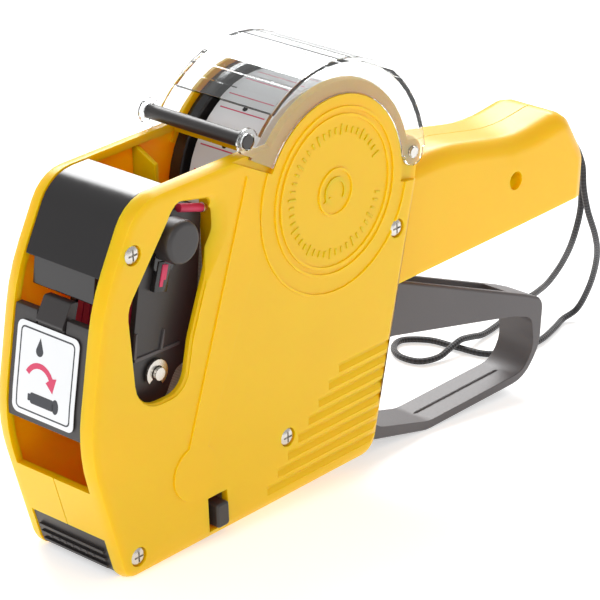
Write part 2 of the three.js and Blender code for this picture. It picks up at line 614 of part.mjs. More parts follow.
// ---------------------------------------------------------------- reel, roll and cover
const [, upperScrew] = caseScrews;
const flangeY = rollWidth / 2 + 1.5;
piece('reel_flange', cut(
  join(
    turned(reelX, reelZ, [[0, -rollWidth / 2 - 0.6], [coreRadius - 1.9, -rollWidth / 2 - 0.6],
      [coreRadius - 1.9, flangeY], [flangeRadius, flangeY], [flangeRadius, linerIn - fit],
      [flangeRadius - 2, linerIn - fit], [flangeRadius - 2, flangeY + 1.8], [0, flangeY + 1.8]]),
    rod(reelX, reelZ, 2.4, -inside + fit, inside - fit),
  ),
  rod(upperScrew.x, upperScrew.z, bossRadius + 1, -half, half),
), glossBlack);
piece('roll_core', ring(reelX, reelZ, coreRadius, coreRadius - 1.5, -rollWidth / 2, rollWidth / 2), card);
piece('label_roll', ring(reelX, reelZ, rollRadius, coreRadius + fit, -rollWidth / 2, rollWidth / 2), paper);

const ear = onCircle(reelX, reelZ, coverRadius + 3.9, 143);
const earBoss = rodRadius + fit + 1.4;
const strapEnds = [12, 128]; // degrees between which the cover bridges the reel
const sideEnds = [3, 149];
piece('reel_cover', cut(
  join(
    sector(reelX, reelZ, coverRadius - coverWall, coverRadius, ...strapEnds, -half, half),
    bothSides(half - coverWall, half, (y0, y1) => join(
      sector(reelX, reelZ, lapInner + fit, coverRadius, ...sideEnds, y0, y1),
      rod(hingeX, hingeZ, hingeBoss - 0.2, y0, y1),
      sector(reelX, reelZ, coverRadius - 1, coverRadius + 3, 139, 148, y0, y1),
      rod(...ear, earBoss, y0, y1),
    )),
  ),
  bothSides(half - 3, half + 1, (y0, y1) => join(
    rod(hingeX, hingeZ, pinRadius + fit, y0, y1), rod(...ear, rodRadius + fit, y0, y1))),
), clear);
piece('cover_rod', rod(...ear, rodRadius, -half, half), black);
piece('cover_pin_right', rod(hingeX, hingeZ, pinRadius, -half, pinDepth - inside), steel);
piece('cover_pin_left', rod(hingeX, hingeZ, pinRadius, inside - pinDepth, half), steel);

// ---------------------------------------------------------------- placing the gun at rest
const casePoints = rounded(caseCorners);
const leverPoints = rounded(leverCorners);
let lean = 0;
const lowest = (points) => points.reduce((low, next) => {
  const drop = next.y * Math.cos(lean) + next.x * Math.sin(lean);
  const best = low.y * Math.cos(lean) + low.x * Math.sin(lean);
  return drop < best ? next : low;
});
for (let i = 0; i < 8; i += 1) {
  const front = lowest(casePoints);
  const back = lowest(leverPoints);
  lean = Math.atan2(front.y - back.y, back.x - front.x);
}
gun.rotation.y = -lean;
const model = new THREE.Group();
model.add(gun);
model.updateMatrixWorld(true);
const extent = new THREE.Box3().setFromObject(gun, true);
gun.position.set(-(extent.min.x + extent.max.x) / 2, -(extent.min.y + extent.max.y) / 2, -extent.min.z);

model.updateMatrixWorld(true);

// ---------------------------------------------------------------- wrist strap, lying on the table
const strapExit = (y) => new THREE.Vector3(eyelet.to + fit, y, (eyelet.low + eyelet.high) / 2)
  .applyMatrix4(gun.matrixWorld);
const strapLead = (y) => strapExit(y).add(new THREE.Vector3(5, 0, 0.2));
// X from where the strap leaves the eyelet, then Y and Z
const strapRoute = [
  [12.5, -1.2, 70], [14.9, -0.8, 60.5], [19, 0, 51.5], [27, 2.2, 40], [36.4, 8, 28.5],
  [43.6, 16, 13.5], [44.6, 21.5, 3.6], [38.6, 22.4, 1.5], [30.6, 19.5, 1.3], [16.6, 15.3, 1.3],
  [2.6, 15, 1.3], [-5.9, 20, 1.3], [-8.4, 31, 1.3], [-10.4, 41.5, 1.3], [-17.4, 47.7, 1.3],
  [-24.4, 45, 1.3], [-28.8, 38, 1.3], [-27.4, 31, 1.3], [-20.4, 28.6, 1.6], [-13.4, 29.2, 3],
  [-7.4, 30, 3.9], [-1.4, 30.9, 3], [6.6, 32, 1.5], [18.6, 34.8, 1.3], [31.6, 39, 1.3],
  [40.6, 43.4, 1.35], [45.6, 42.6, 2.4], [42.1, 36, 7.5], [35.6, 27, 15], [29.1, 16.5, 27],
  [22.2, 7.6, 39.4], [19.7, 3.6, 51], [17.4, 2.1, 60], [14.6, 1.7, 70.5],
].map(([x, y, z]) => new THREE.Vector3(strapExit(0).x + x, y, z));
const strapLine = new THREE.CatmullRomCurve3(
  [strapExit(-1.5), strapLead(-1.5), ...strapRoute, strapLead(1.5), strapExit(1.5)], false, 'centripetal');
const strapSides = 8;
const strapSection = new THREE.Shape(Array.from({ length: strapSides }, (_, i) =>
  point(...onCircle(0, 0, strapRadius, (i * 360) / strapSides))));
const strapSteps = 76;
piece('wrist_strap', solid(new THREE.ExtrudeGeometry(strapSection,
  { extrudePath: strapLine, steps: strapSteps, bevelEnabled: false })), cordBlack, model);

export default model;
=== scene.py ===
# %% [markdown]
# # A price labelling gun
# The real gun is two yellow shells screwed together round a label roll. A print head sits on the
# squeeze lever inside, an ink door closes the nose, and a clear cover swings over the roll.
# Its solid parts were drawn in CAD at their real size. Blender loads them as a fixed frame,
# softens their moulded edges, adds what a solid drawing leaves out, and gives each its finish.

# %% Load the frame
import json
import math

import bpy
from mathutils import Matrix, Vector


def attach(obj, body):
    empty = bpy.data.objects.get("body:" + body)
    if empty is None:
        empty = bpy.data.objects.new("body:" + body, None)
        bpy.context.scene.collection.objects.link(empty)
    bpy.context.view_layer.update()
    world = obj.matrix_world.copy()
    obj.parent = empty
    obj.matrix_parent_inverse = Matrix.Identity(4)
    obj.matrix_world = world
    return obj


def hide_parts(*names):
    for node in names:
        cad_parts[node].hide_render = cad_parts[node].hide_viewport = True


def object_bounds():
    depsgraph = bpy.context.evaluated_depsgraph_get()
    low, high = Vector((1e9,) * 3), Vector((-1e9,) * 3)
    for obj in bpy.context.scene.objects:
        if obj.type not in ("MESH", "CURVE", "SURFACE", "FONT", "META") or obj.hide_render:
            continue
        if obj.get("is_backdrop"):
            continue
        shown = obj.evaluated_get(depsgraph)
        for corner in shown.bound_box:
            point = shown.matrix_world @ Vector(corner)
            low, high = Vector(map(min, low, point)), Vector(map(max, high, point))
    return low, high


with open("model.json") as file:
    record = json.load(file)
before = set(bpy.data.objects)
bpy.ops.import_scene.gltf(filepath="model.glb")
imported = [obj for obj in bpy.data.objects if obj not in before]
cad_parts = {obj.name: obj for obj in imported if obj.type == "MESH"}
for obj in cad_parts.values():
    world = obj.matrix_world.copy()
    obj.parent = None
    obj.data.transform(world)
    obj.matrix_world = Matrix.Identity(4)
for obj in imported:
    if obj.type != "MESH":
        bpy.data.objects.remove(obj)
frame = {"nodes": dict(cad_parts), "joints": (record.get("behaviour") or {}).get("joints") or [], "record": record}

cad_low, cad_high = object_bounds()
record = frame["record"]
print("CAD pieces:", len(frame["nodes"]))
print("CAD box in mm:", [round(1000 * v, 1) for v in (*cad_low, *cad_high)])

# %% [markdown]
# The gun rests nose down on its base's front edge and its lever, so it leans by a few degrees.
# The latch slides square to the base, and its axis gives that lean. All measures below are in
# millimetres in the gun's own frame: X runs from the nose to the handle, Y across the gun and
# Z square to the base. One matrix takes them to the place where the gun rests.

# %% The gun's own frame
MM = 0.001
REEL = Vector((35, 0, 90))  # the reel's axis, on which the joint of the roll lies
joints = {joint["name"]: joint for joint in frame["joints"]}
square_up = Vector(joints["latch_press"]["axis"])
LEAN = math.atan2(-square_up.x, square_up.z)
tilt = Matrix.Rotation(-LEAN, 4, "Y")
GUN = Matrix.Translation(Vector(joints["roll_turn"]["pos_m"]) - tilt @ (REEL * MM)) @ tilt
TO_GUN = GUN.inverted()


def gun_point(x, y, z):
    """A place in the gun's own frame, in the scene's metres."""
    return GUN @ (Vector((x, y, z)) * MM)


def gun_box(node):
    """Lowest and highest corner of a CAD piece in the gun's own frame, in millimetres."""
    points = [TO_GUN @ vertex.co / MM for vertex in frame["nodes"][node].data.vertices]
    low = Vector([min(p[i] for p in points) for i in range(3)])
    high = Vector([max(p[i] for p in points) for i in range(3)])
    return low, high


print("lean in degrees:", round(math.degrees(LEAN), 2))

# %% [markdown]
# The camera comes first. It stands in front of the nose, to the window side, and looks down
# by about 21 degrees. It could be aimed with a Track To constraint, but three plain turns say
# more clearly how it is held. A long lens from far away keeps the gun's true proportions.

# %% Camera
CAMERA_AT = (-0.63153, -0.57086, 0.37728)  # metres
CAMERA_TURN = -47.504  # degrees
CAMERA_HEIGHT = 20.808
CAMERA_ROLL = 1.6
SENSOR_WIDTH = 36  # millimetres
LENS = 181.48
camera_matrix = Matrix.Translation(CAMERA_AT)
camera_matrix = camera_matrix @ Matrix.Rotation(math.radians(CAMERA_TURN), 4, "Z")
camera_matrix = camera_matrix @ Matrix.Rotation(math.radians(90 - CAMERA_HEIGHT), 4, "X")
camera_matrix = camera_matrix @ Matrix.Rotation(math.radians(CAMERA_ROLL), 4, "Z")
bpy.ops.object.camera_add()
camera = bpy.context.object
camera.name = "camera"
camera.matrix_world = camera_matrix
camera.data.sensor_width = SENSOR_WIDTH
camera.data.lens = LENS
camera.data.clip_start = 0.05
camera.data.clip_end = 30
bpy.context.scene.camera = camera
print("lens in mm:", camera.data.lens)

# %% [markdown]
# Every finish is made of nodes, so three helpers come before them. One turns a screen colour
# into the linear colour that Blender works in. The next adds a node with its settings and
# links in one line, so a finish reads from top to bottom as its nodes do from left to right.
# The last starts a finish with an empty tree.

# %% Colour and node helpers
def linear(screen_colour):
    """A linear colour from an sRGB hex value."""
    channels = [int(screen_colour[i:i + 2], 16) / 255 for i in (0, 2, 4)]
    curve = [c / 12.92 if c <= 0.04045 else ((c + 0.055) / 1.055) ** 2.4 for c in channels]
    return (*curve, 1)


def add_node(tree, kind, inputs=None, **settings):
    """Adds a node. An input takes a value, or a socket that is linked to it."""
    made = tree.nodes.new(kind)
    for name, value in settings.items():
        setattr(made, name, value)
    for name, value in (inputs or {}).items():
        if isinstance(value, bpy.types.NodeSocket):
            tree.links.new(value, made.inputs[name])
        else:
            made.inputs[name].default_value = value
    return made


def new_finish(name):
    """An empty node material and its shader's tree."""
    finish = bpy.data.materials.new(name)
    finish.use_nodes = True
    finish.node_tree.nodes.clear()
    return finish, finish.node_tree


print("a mid grey on the screen is, in linear light:", round(linear("808080")[0], 3))

# %% [markdown]
# Most of the gun is moulded plastic. A moulding has one colour, but its surface is never even:
# the melt leaves slow flow marks, and the mould leaves a fine grain that breaks up reflections.
# An image could show both, but two noise patterns cover every piece without a seam. The grain
# is drawn at about its real size, and the flow marks are a few centimetres wide.

# %% Moulded plastics
THROUGH_DEPTH = 8.0  # millimetres that light travels inside a plastic that lets it through
THROUGH_SHARES = (1.0, 0.42, 0.08)  # red travels farthest, then green, then blue


def moulded(name, colour, shade, roughness, ior, grain, depth, flow=28, spread=0.06,
            through=0.0):
    """A plastic from its colour, its darker flow marks, its gloss and its grain in mm."""
    finish, tree = new_finish(name)
    place = add_node(tree, "ShaderNodeTexCoord").outputs["Object"]
    marks = add_node(tree, "ShaderNodeTexNoise",
                     {"Vector": place, "Scale": 1 / (flow * MM), "Detail": 3.0})
    tone = add_node(tree, "ShaderNodeMix",
                    {"Factor": marks.outputs["Fac"], 6: linear(colour), 7: linear(shade)},
                    data_type="RGBA")  # a Mix node's inputs 6 and 7 and its output 2 are colours
    fine = add_node(tree, "ShaderNodeTexNoise",
                    {"Vector": place, "Scale": 1 / (grain * MM), "Detail": 2.0})
    gloss = add_node(tree, "ShaderNodeMapRange",
                     {"Value": fine.outputs["Fac"], "To Min": roughness - spread,
                      "To Max": roughness + spread})
    relief = add_node(tree, "ShaderNodeBump",
                      {"Height": fine.outputs["Fac"], "Strength": 0.35, "Distance": depth * MM})
    shader = add_node(tree, "ShaderNodeBsdfPrincipled",
                      {"Base Color": tone.outputs[2], "Roughness": gloss.outputs["Result"],
                       "Normal": relief.outputs["Normal"], "IOR": ior,
                       "Subsurface Weight": through, "Subsurface Scale": THROUGH_DEPTH * MM,
                       "Subsurface Radius": THROUGH_SHARES})
    add_node(tree, "ShaderNodeOutputMaterial", {"Surface": shader.outputs["BSDF"]})
    return finish


finishes = {
    # Polished ABS in a warm yellow. Its thin walls let some light through, and the hollows
    # behind them glow orange, because red travels farther inside it than green.
    "yellow_abs": moulded("moulded yellow ABS", "FBC200", "F4B900", 0.34, 1.40, 0.9, 0.006,
                          through=0.5),
    # The same plastic in black from an etched mould, so it looks like dark satin.
    "black_abs": moulded("etched black ABS", "2A2727", "332F2F", 0.42, 1.54, 0.45, 0.03),
    # Black ABS from a polished mould, which mirrors the lights softly.
    "gloss_black": moulded("polished black ABS", "1B191A", "211F20", 0.16, 1.54, 1.6, 0.006,
                           spread=0.03),
    # Glass-filled nylon of the lever, a dull dark grey.
    "lever_grey": moulded("glass-filled nylon", "4A4647", "565152", 0.46, 1.53, 0.6, 0.02),
    # Soft printing rubber in a pinkish red.
    "red_rubber": moulded("printing rubber", "D8345F", "C92C55", 0.48, 1.52, 0.5, 0.02),
    # Acetal, smooth and white, as on gear wheels and spools.
    "white_plastic": moulded("white acetal", "EDEEF0", "E6E8EA", 0.34, 1.48, 1.2, 0.004),
    # Ink felt, nearly black, with a soft fibre surface.
    "felt": moulded("inked felt", "241F2B", "17141C", 0.92, 1.45, 0.35, 0.12),
    # Brown kraft card of the roll's core.
    "card": moulded("kraft card", "B58E60", "A67F52", 0.85, 1.45, 0.5, 0.04),
}
print("moulded finishes:", sorted(finishes))

# %% [markdown]
# The reel cover is clear polycarbonate. It takes almost no colour from what is behind it, and
# shows as bright and dark lines along its edges, where light runs through its thickness. Full
# transmission with the real index of refraction gives those lines by itself. A bump would bend
# what is seen through it, so the slight haze from handling is only a change of roughness.

# %% Clear polycarbonate
HAZE_WIDTH = 100 / 9  # millimetres
finish, tree = new_finish("clear polycarbonate")
place = add_node(tree, "ShaderNodeTexCoord").outputs["Object"]
haze = add_node(tree, "ShaderNodeTexNoise",
                {"Vector": place, "Scale": 1 / (HAZE_WIDTH * MM), "Detail": 4.0})
gloss = add_node(tree, "ShaderNodeMapRange",
                 {"Value": haze.outputs["Fac"], "To Min": 0.0, "To Max": 0.06})
shader = add_node(tree, "ShaderNodeBsdfPrincipled",
                  {"Base Color": linear("F6F8F8"), "Roughness": gloss.outputs["Result"],
                   "IOR": 1.585, "Transmission Weight": 1.0})
add_node(tree, "ShaderNodeOutputMaterial", {"Surface": shader.outputs["BSDF"]})
finishes["clear_pc"] = finish
print(finish.name, "has nodes:", len(tree.nodes))

# %% [markdown]
# Screws, pins and shafts are nickel-plated steel. Plating is smooth, with faint rubbing marks
# that spread its highlights a little. The marks are too fine for a relief, so a fine noise
# only changes the roughness.

# %% Nickel-plated steel
RUB_WIDTH = 2 / 3  # millimetres
finish, tree = new_finish("nickel-plated steel")
place = add_node(tree, "ShaderNodeTexCoord").outputs["Object"]
rubbed = add_node(tree, "ShaderNodeTexNoise",
                  {"Vector": place, "Scale": 1 / (RUB_WIDTH * MM), "Detail": 3.0})
gloss = add_node(tree, "ShaderNodeMapRange",
                 {"Value": rubbed.outputs["Fac"], "To Min": 0.16, "To Max": 0.34})
shader = add_node(tree, "ShaderNodeBsdfPrincipled",
                  {"Base Color": linear("CFCBC5"), "Metallic": 1.0,
                   "Roughness": gloss.outputs["Result"]})
add_node(tree, "ShaderNodeOutputMaterial", {"Surface": shader.outputs["BSDF"]})
finishes["nickel_steel"] = finish
print(finish.name, "has nodes:", len(tree.nodes))

# %% [markdown]
# Labels are coated paper, wound in many turns. On the roll's two faces each turn shows as a
# fine ring. Real turns are 0.15 mm apart, too fine to see, so the rings are drawn 0.7 mm apart.
# A Wave texture in rings draws them, once a Mapping node has centred it on the reel's axis.

# %% Label paper
RING_PITCH = 0.7 * MM
FIBRE_WIDTH = 0.4 * MM
WAVES_PER_UNIT = 20  # a Wave texture in rings goes through 20 radians in each unit of length
finish, tree = new_finish("coated label paper")
place = add_node(tree, "ShaderNodeTexCoord").outputs["Object"]
from_axis = add_node(tree, "ShaderNodeMapping",
                     {"Vector": place, "Location": -Vector(joints["roll_turn"]["pos_m"])})
turns = add_node(tree, "ShaderNodeTexWave",
                 {"Vector": from_axis.outputs["Vector"],
                  "Scale": 2 * math.pi / (WAVES_PER_UNIT * RING_PITCH)},
                 wave_type="RINGS", rings_direction="Y")
tone = add_node(tree, "ShaderNodeMix",
                {"Factor": turns.outputs["Fac"], 6: linear("F7F5F5"), 7: linear("E2DFDF")},
                data_type="RGBA")
fibre = add_node(tree, "ShaderNodeTexNoise",
                 {"Vector": place, "Scale": 1 / FIBRE_WIDTH, "Detail": 3.0})
relief = add_node(tree, "ShaderNodeBump",
                  {"Height": fibre.outputs["Fac"], "Strength": 0.3, "Distance": 0.01 * MM})
shader = add_node(tree, "ShaderNodeBsdfPrincipled",
                  {"Base Color": tone.outputs[2], "Roughness": 0.55, "IOR": 1.45,
                   "Normal": relief.outputs["Normal"]})
add_node(tree, "ShaderNodeOutputMaterial", {"Surface": shader.outputs["BSDF"]})
finishes["paper"] = finish
print(finish.name, "has nodes:", len(tree.nodes))

# %% [markdown]
# The labels and the door's sticker are printed. Ink lies on top of the paper and takes its
# slight unevenness, so both are made as the plastics are, from a colour and a finer grain.

# %% Printed colours
red_ink = moulded("red printing ink", "D9466B", "D03F64", 0.5, 1.45, 0.6, 0.004)
plain_paper = moulded("label face paper", "EEEDEF", "E7E6E9", 0.5, 1.45, 0.4, 0.01)
dark_ink = moulded("dark printing ink", "3A3C42", "33353B", 0.45, 1.45, 0.6, 0.004)
print("printed finishes:", [ink.name for ink in (red_ink, plain_paper, dark_ink)])

# %% [markdown]
# The wrist strap is a braided nylon cord. Strands cross each other in a diamond pattern, so
# its bump follows the cord: the first map coordinate runs along it in millimetres, and the
# second goes once round it. An image of a braid would stretch in the bends. Two sine waves
# that wind opposite ways, multiplied, give the diamonds and stay true all along. The same
# pattern darkens the cord where it is low, as painted shade between the strands.

# %% Braided cord
BRAID_PITCH = 2.6  # the real braid repeats every 1.6 mm, and is drawn coarser so that it shows
STRANDS = 4
finish, tree = new_finish("braided nylon cord")
along_round = add_node(tree, "ShaderNodeUVMap", uv_map="cord_map").outputs["UV"]
split = add_node(tree, "ShaderNodeSeparateXYZ", {"Vector": along_round})
along = add_node(tree, "ShaderNodeMath", {0: split.outputs["X"], 1: 2 * math.pi / BRAID_PITCH},
                 operation="MULTIPLY").outputs[0]
around = add_node(tree, "ShaderNodeMath", {0: split.outputs["Y"], 1: 2 * math.pi * STRANDS},
                  operation="MULTIPLY").outputs[0]
left = add_node(tree, "ShaderNodeMath", {0: along, 1: around}, operation="ADD").outputs[0]
right = add_node(tree, "ShaderNodeMath", {0: along, 1: around}, operation="SUBTRACT").outputs[0]
left = add_node(tree, "ShaderNodeMath", {0: left}, operation="SINE").outputs[0]
right = add_node(tree, "ShaderNodeMath", {0: right}, operation="SINE").outputs[0]
weave = add_node(tree, "ShaderNodeMath", {0: left, 1: right}, operation="MULTIPLY").outputs[0]
shown = add_node(tree, "ShaderNodeMapRange", {"Value": weave, "From Min": -1.0})
# painted shade: the low parts of the weave take the darker colour, the raised strands the lighter one
tone = add_node(tree, "ShaderNodeMix",
                {"Factor": shown.outputs["Result"], 6: linear("111114"), 7: linear("2E2E34")},
                data_type="RGBA")
relief = add_node(tree, "ShaderNodeBump",
                  {"Height": shown.outputs["Result"], "Strength": 0.8, "Distance": 0.25 * MM})
shader = add_node(tree, "ShaderNodeBsdfPrincipled",
                  {"Base Color": tone.outputs[2], "Roughness": 0.7, "IOR": 1.5,
                   "Sheen Weight": 0.3, "Normal": relief.outputs["Normal"]})
add_node(tree, "ShaderNodeOutputMaterial", {"Surface": shader.outputs["BSDF"]})
finishes["strap_cord"] = finish
print(finish.name, "has nodes:", len(tree.nodes))

# %% [markdown]
# The strap is one loop of cord, 2.2 mm thick, and both its ends go into the eyelet at the
# handle's end. It hangs down from there and lies on the table in a loose bow. A simulation
# could lay it, but not just where it should lie, so its route is a smooth curve through the
# same points as in CAD.

# %% The strap's route
STRAP_RADIUS = 1.1
eyelet_low, eyelet_high = gun_box("strap_eyelet")
EXIT_GAP = 0.3
STRAND_OFFSET = 1.5
LEAD = Vector((5, 0, 0.2))
SPAN_STEPS = 10
# X from where the strap leaves the eyelet, then Y and Z
STRAP_ROUTE = [
    (12.5, -1.2, 70), (14.9, -0.8, 60.5), (19, 0, 51.5), (27, 2.2, 40), (36.4, 8, 28.5),
    (43.6, 16, 13.5), (44.6, 21.5, 3.6), (38.6, 22.4, 1.5), (30.6, 19.5, 1.3), (16.6, 15.3, 1.3),
    (2.6, 15, 1.3), (-5.9, 20, 1.3), (-8.4, 31, 1.3), (-10.4, 41.5, 1.3), (-17.4, 47.7, 1.3),
    (-24.4, 45, 1.3), (-28.8, 38, 1.3), (-27.4, 31, 1.3), (-20.4, 28.6, 1.6), (-13.4, 29.2, 3),
    (-7.4, 30, 3.9), (-1.4, 30.9, 3), (6.6, 32, 1.5), (18.6, 34.8, 1.3), (31.6, 39, 1.3),
    (40.6, 43.4, 1.35), (45.6, 42.6, 2.4), (42.1, 36, 7.5), (35.6, 27, 15), (29.1, 16.5, 27),
    (22.2, 7.6, 39.4), (19.7, 3.6, 51), (17.4, 2.1, 60), (14.6, 1.7, 70.5),
]


def strap_exit(across):
    """Where a strand leaves the eyelet, in scene millimetres."""
    middle = (eyelet_low.z + eyelet_high.z) / 2
    return gun_point(eyelet_high.x + EXIT_GAP, across, middle) / MM


def smooth_route(points, steps):
    """Points of a centripetal curve through the given ones, so many steps to each span."""
    first, last = 2 * points[0] - points[1], 2 * points[-1] - points[-2]
    padded = [first, *points, last]
    route = []
    for p0, p1, p2, p3 in zip(padded, padded[1:], padded[2:], padded[3:]):
        d0, d1, d2 = ((b - a).length ** 0.5 for a, b in ((p0, p1), (p1, p2), (p2, p3)))
        leave = ((p1 - p0) / d0 - (p2 - p0) / (d0 + d1) + (p2 - p1) / d1) * d1
        arrive = ((p2 - p1) / d1 - (p3 - p1) / (d1 + d2) + (p3 - p2) / d2) * d1
        for i in range(steps):
            t = i / steps
            route.append(p1 * (2 * t**3 - 3 * t**2 + 1) + leave * (t**3 - 2 * t**2 + t)
                         + p2 * (3 * t**2 - 2 * t**3) + arrive * (t**3 - t**2))
    return [*route, points[-1].copy()]


ends = [strap_exit(-STRAND_OFFSET), strap_exit(STRAND_OFFSET)]
hanging = [Vector((strap_exit(0).x + x, y, z)) for x, y, z in STRAP_ROUTE]
strap_points = smooth_route(
    [ends[0], ends[0] + LEAD, *hanging, ends[1] + LEAD, ends[1]], SPAN_STEPS)

# %% [markdown]
# A bevelled curve would give the strap a round section too, but no map that says how far along
# and round it a place is, and the braid needs one. So a ring of corners is carried along the
# route, each turned as little as it can be from the last one, and joined to it by faces.

# %% The strap's mesh
STRAP_SIDES = 12


def cord_mesh(name, route, radius, sides):
    """A closed tube along a route in mm, with a map in mm along it and in turns round it."""
    rings, faces, maps, run = [], [], [], 0.0
    across = Vector((0, 1, 0))
    for i, here in enumerate(route):
        ahead = (route[min(i + 1, len(route) - 1)] - route[max(i - 1, 0)]).normalized()
        across = (across - ahead * across.dot(ahead)).normalized()
        upward = ahead.cross(across)
        for k in range(sides):
            angle = 2 * math.pi * k / sides
            side = across * math.cos(angle) + upward * math.sin(angle)
            rings.append((here + side * radius) * MM)
        if i:
            step = (here - route[i - 1]).length
            a, b = (i - 1) * sides, i * sides
            for k in range(sides):
                n = (k + 1) % sides
                faces.append((a + k, a + n, b + n, b + k))
                turn, next_turn = k / sides, (k + 1) / sides
                maps += [(run, turn), (run, next_turn), (run + step, next_turn),
                         (run + step, turn)]
            run += step
    last = (len(route) - 1) * sides
    faces += [tuple(range(sides))[::-1], tuple(range(last, last + sides))]
    maps += [(0, 0)] * sides + [(run, 0)] * sides
    mesh = bpy.data.meshes.new(name)
    mesh.from_pydata(rings, [], faces)
    layer = mesh.uv_layers.new(name="cord_map")
    for loop, value in zip(layer.data, maps):
        loop.uv = value
    made = bpy.data.objects.new(name, mesh)
    bpy.context.scene.collection.objects.link(made)
    return made


strap = cord_mesh("wrist_strap_cord", strap_points, STRAP_RADIUS, STRAP_SIDES)
strap.data.materials.append(finishes["strap_cord"])
for face in strap.data.polygons:
    face.use_smooth = len(face.vertices) == 4
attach(strap, "root")
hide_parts("wrist_strap")
print("strap faces:", len(strap.data.polygons))

# %% [markdown]
# Every CAD piece gets its finish first, also those deep inside, because a joint can bring
# them into view. They could be named one by one, but the record already says which material
# each piece is made of, so one loop does it.

# %% Finishes of the CAD pieces
slot_of = {part["node"]: part["material_slot"] for part in record["subparts"]}
body_of = {node: body for body, nodes in record["behaviour"]["bodies"].items() for node in nodes}
for node, piece in frame["nodes"].items():
    piece.data.materials.clear()
    piece.data.materials.append(finishes[slot_of[node]])
print("pieces with a finish:", len(slot_of))

# %% [markdown]
# A solid drawing has knife-sharp edges, and no moulding has. A thin rounding along each edge
# catches the light and is what makes a plastic part look real. So a copy of each visible CAD
# piece has its loose triangles merged, its flat parts joined to single faces, and every edge
# that is sharper than an arc's own steps rounded by a Bevel modifier. Weighted normals keep
# the large faces flat next to the roundings.

# %% Selecting and measuring
def only(piece):
    """Selects one piece and makes it the active one."""
    bpy.ops.object.select_all(action="DESELECT")
    piece.select_set(True)
    bpy.context.view_layer.objects.active = piece


def measured(piece):
    """Area, lowest and highest corner of a piece with its modifiers."""
    shown = piece.evaluated_get(bpy.context.evaluated_depsgraph_get())
    mesh = shown.to_mesh()
    area = sum(face.area for face in mesh.polygons)
    points = [v.co.copy() for v in mesh.vertices]
    shown.to_mesh_clear()
    low = [min(p[i] for p in points) for i in range(3)]
    high = [max(p[i] for p in points) for i in range(3)]
    return area, low, high


SQUARE_CM = 1e-4
shell_area = measured(frame["nodes"]["right_shell"])[0]
print("area of the right shell in square cm:", round(shell_area / SQUARE_CM, 1))

# %% [markdown]
# Where two edges lie close, a wide rounding would fold over itself or reach outside the CAD
# shape. So the widest width that neither swells the piece nor adds to its area is taken.

# %% Softened mouldings
SHARP = math.radians(34)  # steeper than an arc's own steps
MERGE = 0.002 * MM
LEVEL = math.radians(0.6)  # faces that differ by less are one flat part
WIDTH_SHARES = (1.0, 0.6, 0.3, 0.12)
MOST_SPILL = 0.02 * MM
MOST_GROWTH = 1.02


def softened(node, width, sharp):
    """A copy of a CAD piece with its sharp edges rounded by so many millimetres."""
    piece = bpy.data.objects.new(node + "_moulding", frame["nodes"][node].data.copy())
    bpy.context.scene.collection.objects.link(piece)
    only(piece)
    bpy.ops.mesh.customdata_custom_splitnormals_clear()
    bpy.ops.object.mode_set(mode="EDIT")
    bpy.ops.mesh.select_all(action="SELECT")
    bpy.ops.mesh.remove_doubles(threshold=MERGE)
    bpy.ops.mesh.dissolve_limited(angle_limit=LEVEL)
    bpy.ops.object.mode_set(mode="OBJECT")
    area, low, high = measured(piece)
    bpy.ops.object.modifier_add(type="BEVEL")
    rounding = piece.modifiers[-1]
    rounding.segments = 2
    rounding.limit_method = "ANGLE"
    rounding.angle_limit = SHARP
    rounding.use_clamp_overlap = False
    for share in WIDTH_SHARES:
        rounding.width = width * share * MM
        new_area, new_low, new_high = measured(piece)
        below = [a - b for a, b in zip(low, new_low)]
        above = [b - a for a, b in zip(high, new_high)]
        if max(below + above) < MOST_SPILL and new_area < area * MOST_GROWTH:
            break
    else:
        rounding.width = 0.0
    print(node, "rounded by", round(rounding.width / MM, 2), "mm")
    bpy.ops.object.modifier_apply(modifier=rounding.name)
    bpy.ops.object.shade_smooth_by_angle(angle=sharp)
    bpy.ops.object.modifier_add(type="WEIGHTED_NORMAL")
    piece.modifiers[-1].keep_sharp = True
    bpy.ops.object.modifier_apply(modifier=piece.modifiers[-1].name)
    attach(piece, body_of[node])
    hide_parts(node)


ROUNDING = {  # millimetres
    "right_shell": 0.1, "left_shell": 0.1, "nose_visor": 0.3, "front_guard": 0.15,
    "ink_door": 0.25, "trigger_lever": 0.35, "head_frame": 0.25, "head_cowl": 0.25,
    "selector_slide": 0.2, "selector_knob": 0.3, "pointer": 0.12, "latch_right": 0.2,
    "latch_left": 0.2, "bottom_cover": 0.25, "strap_eyelet": 0.4, "reel_cover": 0.35,
    "cover_rod": 0.3, "reel_flange": 0.3, "feed_bed": 0.2, "handle_screw": 0.05,
    "case_screw_1": 0.05, "case_screw_2": 0.05, "case_screw_3": 0.05, "case_screw_4": 0.05,
    "head_clip_right": 0.1, "head_clip_left": 0.1, "head_shaft": 0.2,
}
# The clear cover stays faceted: its inner and outer facets are parallel, so that what lies
# behind them isn't bent.
FLAT = math.radians(4)
for node, width in ROUNDING.items():
    softened(node, width, FLAT if node == "reel_cover" else SHARP)

# %% [markdown]
# New pieces are modelled in the gun's own frame and then put in place in one go, which leaves
# their object at the origin with its place in its mesh. Most start as one flat face that is
# extruded or spun, so these helpers cover a face from its corners, placing, joining, copying
# and finishing.

# %% Helpers for new pieces
def place_in(piece, matrix):
    """Moves a piece's mesh by a matrix and leaves its object at the origin."""
    piece.matrix_world = matrix @ piece.matrix_world
    only(piece)
    bpy.ops.object.transform_apply(location=True, rotation=True, scale=True)


def finished(piece, body, slot):
    """Shades a new piece, gives it its finish and lets it ride on its body."""
    only(piece)
    bpy.ops.object.shade_smooth_by_angle(angle=SHARP)
    if not piece.data.materials:
        piece.data.materials.append(finishes[slot])
    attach(piece, body)
    print(piece.name, "faces:", len(piece.data.polygons))


